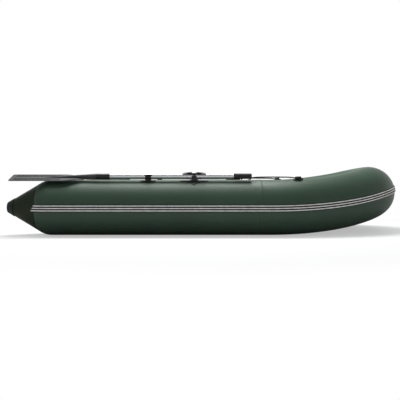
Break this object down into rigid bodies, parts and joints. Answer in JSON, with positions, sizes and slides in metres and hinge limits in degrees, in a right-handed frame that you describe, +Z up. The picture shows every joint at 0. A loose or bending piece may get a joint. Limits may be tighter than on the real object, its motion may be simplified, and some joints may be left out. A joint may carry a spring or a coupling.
{
  "type": "inflatable motor dinghy",
  "caption": "Inflatable boat with side tubes ending in stern cones, upturned bow, plywood transom, bench seats, slatted floor and swinging oars in rowlocks.",
  "frame": {"origin": "on the floor under the middle of the boat's box, midway between the side tubes", "axes": "+X towards the bow, +Y to port, +Z up; the boat stands on the undersides of its tubes"},
  "size_m": [2.7146, 1.403, 0.4645],
  "materials": {
    "tube_fabric": "satin coated PVC fabric, dark green",
    "cone_fabric": "satin coated PVC fabric, dark olive green",
    "bottom_fabric": "satin coated PVC fabric, dark green",
    "black_rubber": "matte black rubber",
    "rib_grey": "matte light grey PVC",
    "plywood": "varnished plywood",
    "black_plastic": "moulded black plastic",
    "blade_plastic": "moulded dark grey plastic",
    "grip_rubber": "matte black handle",
    "webbing": "woven black webbing",
    "rope": "braided black rope",
    "aluminium": "drawn aluminium tube",
    "steel": "stainless steel"
  },
  "bodies": {
    "hull": {"side_tube_starboard": "tube_fabric", "side_tube_port": "tube_fabric", "stern_cone_starboard": "cone_fabric", "stern_cone_port": "cone_fabric", "cone_cap_starboard": "black_rubber", "cone_cap_port": "black_rubber", "seat_rail_starboard": "black_rubber", "seat_rail_port": "black_rubber", "rowlock_base_starboard": "black_rubber", "rowlock_base_port": "black_rubber", "rowlock_pin_starboard": "steel", "rowlock_pin_port": "steel", "oar_clip_starboard": "black_rubber", "oar_clip_port": "black_rubber", "lifeline_starboard": "rope", "lifeline_port": "rope", "bow_tube": "tube_fabric", "rub_strake": "black_rubber", "strake_ribs": "rib_grey", "hull_bottom": "bottom_fabric", "transom": "plywood", "transom_pad_outer": "black_plastic", "transom_pad_inner": "black_plastic", "transom_holders": "black_rubber", "drain_plug": "black_plastic", "floor_slats": "plywood", "floor_straps": "webbing", "bench_seat_front": "plywood", "bench_seat_rear": "plywood", "seat_brackets": "aluminium", "air_valves": "black_plastic", "lifeline_eyes": "black_rubber"},
    "oar_starboard": {"oar_shaft_starboard": "aluminium", "oar_grip_starboard": "grip_rubber", "oar_socket_starboard": "black_plastic", "oar_blade_starboard": "blade_plastic", "rowlock_yoke_starboard": "black_plastic", "rowlock_saddle_starboard": "black_rubber"},
    "oar_port": {"oar_shaft_port": "aluminium", "oar_grip_port": "grip_rubber", "oar_socket_port": "black_plastic", "oar_blade_port": "blade_plastic", "rowlock_yoke_port": "black_plastic", "rowlock_saddle_port": "black_rubber"}
  },
  "joints": [
    {"name": "rowlock_starboard", "type": "hinge", "parent": "hull", "child": "oar_starboard", "pos_m": [-0.11945, -0.572, 0.389], "axis": [0, 0, 1], "range_deg": [0, 120]},
    {"name": "rowlock_port", "type": "hinge", "parent": "hull", "child": "oar_port", "pos_m": [-0.11945, 0.572, 0.389], "axis": [0, 0, -1], "range_deg": [0, 120]}
  ]
}
